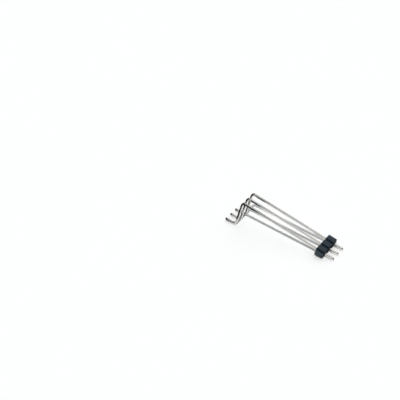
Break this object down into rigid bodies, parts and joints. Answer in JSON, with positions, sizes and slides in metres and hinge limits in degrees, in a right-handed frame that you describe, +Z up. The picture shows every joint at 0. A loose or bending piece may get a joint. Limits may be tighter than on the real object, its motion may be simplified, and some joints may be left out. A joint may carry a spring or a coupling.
{
  "type": "pin header strip",
  "caption": "Single-row pin header: square wire pins in a black break-away insulator, with short straight tails and long Z-bent leads that end in feet.",
  "frame": {"origin": "centre of the base of the bounding box, on the table that the strip lies on", "axes": "+X from the feet to the short tails, +Y along the row, +Z up as it lies at rest"},
  "size_m": [0.0334, 0.0076, 0.0082],
  "materials": {
    "insulator": "fine moulded satin, near black",
    "pin": "bright tin plate over brass, silver grey"
  },
  "bodies": {
    "root": {"insulator": "insulator", "pin_1": "pin", "pin_2": "pin", "pin_3": "pin"}
  },
  "joints": []
}
